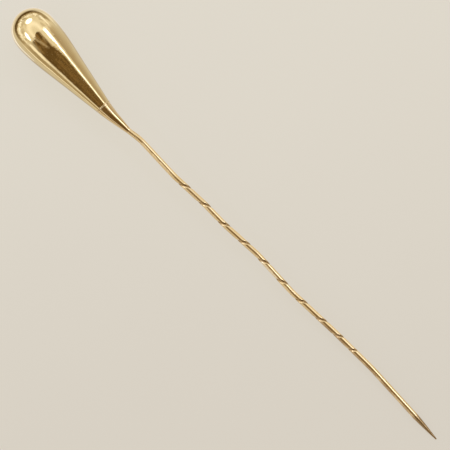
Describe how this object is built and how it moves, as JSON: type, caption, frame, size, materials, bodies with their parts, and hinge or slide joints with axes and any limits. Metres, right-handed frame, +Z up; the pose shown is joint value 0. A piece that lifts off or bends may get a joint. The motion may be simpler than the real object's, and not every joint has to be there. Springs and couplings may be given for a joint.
{
  "type": "stick pin",
  "caption": "Gold stick pin with a long drop-shaped head that tapers into a slim wire with a spiral groove for grip and a sharp point.",
  "frame": {"origin": "on the surface that the pin lies on, under the middle of the pin's outline", "axes": "+X along the pin from its head to its point, +Z up from the surface, +Y to the left of the pin seen from above with the point ahead"},
  "size_m": [0.0698, 0.0054, 0.0054],
  "materials": {
    "gold": "polished yellow gold with fine wear"
  },
  "bodies": {
    "root": {"stick_pin": "gold"}
  },
  "joints": []
}
